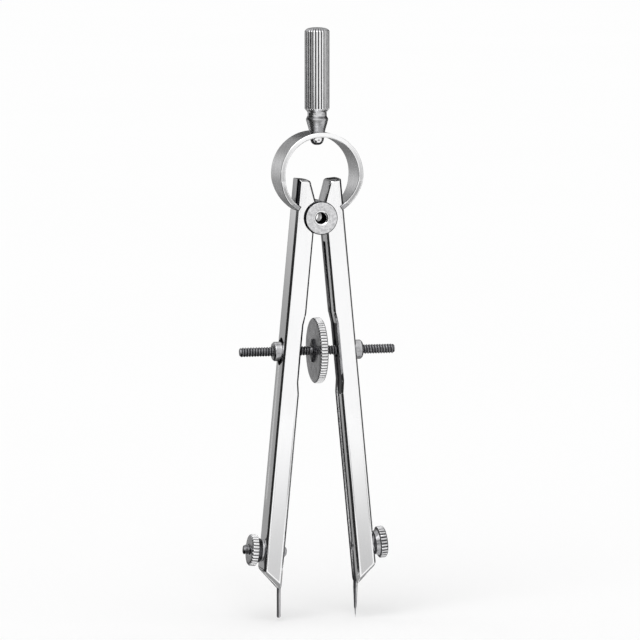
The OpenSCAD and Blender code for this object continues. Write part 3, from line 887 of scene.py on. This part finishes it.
build_grip()
build_rivet()
build_ring_half("ring_left_half", -1)
build_ring_half("ring_right_half", 1)
build_pivot()
build_leg("left_leg_bar", -1, LEFT, LEG_LENGTH, LEFT_CLAMP_DROP, "left_leg")
build_leg("right_leg_bar", 1, RIGHT, NEEDLE_LEG, RIGHT_CLAMP_DROP, "right_leg")
build_spindle()
build_swivel_nuts()
build_wheel()
build_hub()
build_clamp("left", -1, LEFT, LEFT_CLAMP_DROP, LEG_IN - 1, KNOB_END + 1.45)
build_clamp("right", 1, RIGHT, RIGHT_CLAMP_DROP, LEG_IN - 0.25, KNOB_END - 0.1)
build_lead()
build_needle()


def build_world():
    """White surroundings for the camera and for reflections, a softer level for everything else."""
    world = bpy.data.worlds.new("studio")
    bpy.context.scene.world = world
    world.use_nodes = True
    nodes = world.node_tree.nodes
    links = world.node_tree.links
    nodes.clear()
    path = nodes.new("ShaderNodeLightPath")
    seen = nodes.new("ShaderNodeMath")
    seen.operation = "MAXIMUM"
    links.new(path.outputs["Is Camera Ray"], seen.inputs[0])
    links.new(path.outputs["Is Glossy Ray"], seen.inputs[1])
    soft = nodes.new("ShaderNodeBackground")
    soft.inputs["Color"].default_value = (1, 1, 1, 1)
    soft.inputs["Strength"].default_value = 0.78
    white = nodes.new("ShaderNodeBackground")
    white.inputs["Color"].default_value = (1, 1, 1, 1)
    white.inputs["Strength"].default_value = 1.0
    mix = nodes.new("ShaderNodeMixShader")
    output = nodes.new("ShaderNodeOutputWorld")
    links.new(seen.outputs[0], mix.inputs["Fac"])
    links.new(soft.outputs["Background"], mix.inputs[1])
    links.new(white.outputs["Background"], mix.inputs[2])
    links.new(mix.outputs["Shader"], output.inputs["Surface"])


def card(name, centre, width, height, facing, top, bottom):
    """Plain panel that only reflections show, graded from its bottom to its top."""
    points = [(-width / 2, 0, -height / 2), (width / 2, 0, -height / 2),
              (width / 2, 0, height / 2), (-width / 2, 0, height / 2)]
    panel = make_mesh(name, points, [[0, 1, 2, 3]])
    panel.matrix_world = shift(*centre) @ turn("Z", facing)
    material = bpy.data.materials.new(name)
    material.use_nodes = True
    nodes = material.node_tree.nodes
    links = material.node_tree.links
    nodes.clear()
    coordinates = nodes.new("ShaderNodeTexCoord")
    split = nodes.new("ShaderNodeSeparateXYZ")
    grade = nodes.new("ShaderNodeMapRange")
    grade.interpolation_type = "SMOOTHSTEP"
    grade.inputs["From Min"].default_value = 0.0
    grade.inputs["From Max"].default_value = 1.0
    grade.inputs["To Min"].default_value = bottom
    grade.inputs["To Max"].default_value = top
    glow = nodes.new("ShaderNodeEmission")
    output = nodes.new("ShaderNodeOutputMaterial")
    links.new(coordinates.outputs["Generated"], split.inputs["Vector"])
    links.new(split.outputs["Z"], grade.inputs["Value"])
    links.new(grade.outputs["Result"], glow.inputs["Strength"])
    links.new(glow.outputs["Emission"], output.inputs["Surface"])
    panel.data.materials.append(material)
    panel.visible_camera = False
    panel.visible_diffuse = False
    panel.visible_shadow = False
    return panel


def low_card(name, x, y, rise, width, depth, level):
    """Level panel of one tone just above the floor, which only reflections show."""
    centre = (x, y, NEEDLE_TIP + rise)
    panel = card(name, centre, width, depth, 0, level, level)
    panel.matrix_world = shift(*centre) @ turn("X", 90)


def build_cards():
    """Panels that give the plated metal its light and dark bands."""
    for name, side, level in (("left_foot_card", -1, 0.62), ("right_foot_card", 1, 0.56)):
        panel = card(name, (7.5 + side * 10.8, -33.7, -77), 6.0, 44, 0, 1.0, level)
        panel.matrix_world @= turn("Y", -side * LEG_TILT)
    # Name, centre, width, height, turn about the vertical in degrees, tone at the top and at the bottom.
    upright = (
        ("left_rim_card", (10.2, -85.4, 7), 5.4, 30, 0, 1.0, 0.2),
        ("right_rim_card", (30.0, -85.4, 7), 5.4, 30, 0, 1.0, 0.2),
        ("waist_flag", (-205, -219, -15), 180, 51, -43, 0.05, 0.05),
        ("grip_flag", (226.5, -82.4, 14), 236, 70, 70, 0.5, 0.5),
        ("left_flag", (-300, 92, 100), 530, 410, 90, 0.02, 0.02),
        ("grip_shade", (-295, 60, 29), 400, 42, 90, 0.09, 0.09),
        ("right_flag", (300, 247, 100), 546, 410, 90, 0.08, 0.08),
        ("back_card", (0, 300, 60), 400, 340, 0, 0.33, 0.33),
        ("back_strip", (-84, 298, 60), 10, 340, 0, 0.6, 0.6),
        ("ring_glow_low", (-90, 297, -12), 70, 85, 0, 0.74, 0.33),
        ("ring_glow_high", (-90, 297, 70), 70, 80, 0, 0.33, 0.74),
        ("lower_flag", (40, 296, -60), 140, 104, 0, 0.18, 0.18),
        ("crown_flag", (32, 296, 99), 56, 62, 0, 0.12, 0.12),
        ("ear_flag", (80, 295, 50), 110, 100, 0, 0.03, 0.03),
    )
    for row in upright:
        card(*row)
    # Name, middle across and in depth, rise above the needle's tip, width, depth, tone.
    lying = (
        ("front_floor", 75, -235, 0.4, 175, 145, 0.4),
        ("back_floor", 0, 165, 0.4, 400, 290, 0.33),
        ("left_under", -20, -4, 0.4, 18, 26, 0.3),
        ("right_under", 32, 3, 0.4, 26, 26, 0.3),
        ("left_floor", -175, -30, 0.5, 290, 280, 0.02),
        ("right_floor", 191, 60, 0.5, 278, 200, 0.08),
    )
    for row in lying:
        low_card(*row)


def build_stage():
    """Pale floor under the points and a soft sun."""
    reach = 12000
    points = [(-reach, -reach, 0), (reach, -reach, 0), (reach, reach, 0), (-reach, reach, 0)]
    floor = make_mesh("floor", points, [[0, 1, 2, 3]])
    floor.matrix_world = shift(0, 0, NEEDLE_TIP - 0.1)
    paper = finish_of("floor_paper", (0.985, 0.985, 0.985), (0.98, 0.98, 0.98), (0.85, 0.95),
                      (300, 300, 300), (3, 3, 3), 0.01, 0.0)
    paper.node_tree.nodes["Principled BSDF"].inputs["Specular IOR Level"].default_value = 0.0
    floor.data.materials.append(paper)

    sun = bpy.data.lights.new("soft_key", "SUN")
    sun.energy = 0.9
    sun.angle = math.radians(50)
    key = bpy.data.objects.new("soft_key", sun)
    key.rotation_euler = (math.radians(38), 0, math.radians(-28))
    bpy.context.scene.collection.objects.link(key)


def build_camera():
    """Long lens at the photograph's angle."""
    azimuth = math.radians(-14)
    elevation = math.radians(6)
    distance = 1.2
    target = Vector((0.76, 0, -26.2)) * MM
    back = Vector((math.sin(azimuth) * math.cos(elevation), -math.cos(azimuth) * math.cos(elevation),
                   math.sin(elevation)))
    lens = bpy.data.cameras.new("camera")
    lens.sensor_width = 36
    lens.lens = 267
    lens.clip_start = 0.05
    lens.clip_end = 60
    camera = bpy.data.objects.new("camera", lens)
    camera.location = target + back * distance
    camera.rotation_mode = "QUATERNION"
    camera.rotation_quaternion = (-back).to_track_quat("-Z", "Y")
    bpy.context.scene.collection.objects.link(camera)
    bpy.context.scene.camera = camera


build_world()
build_stage()
build_cards()
build_camera()
bpy.context.scene.view_settings.view_transform = "Standard"
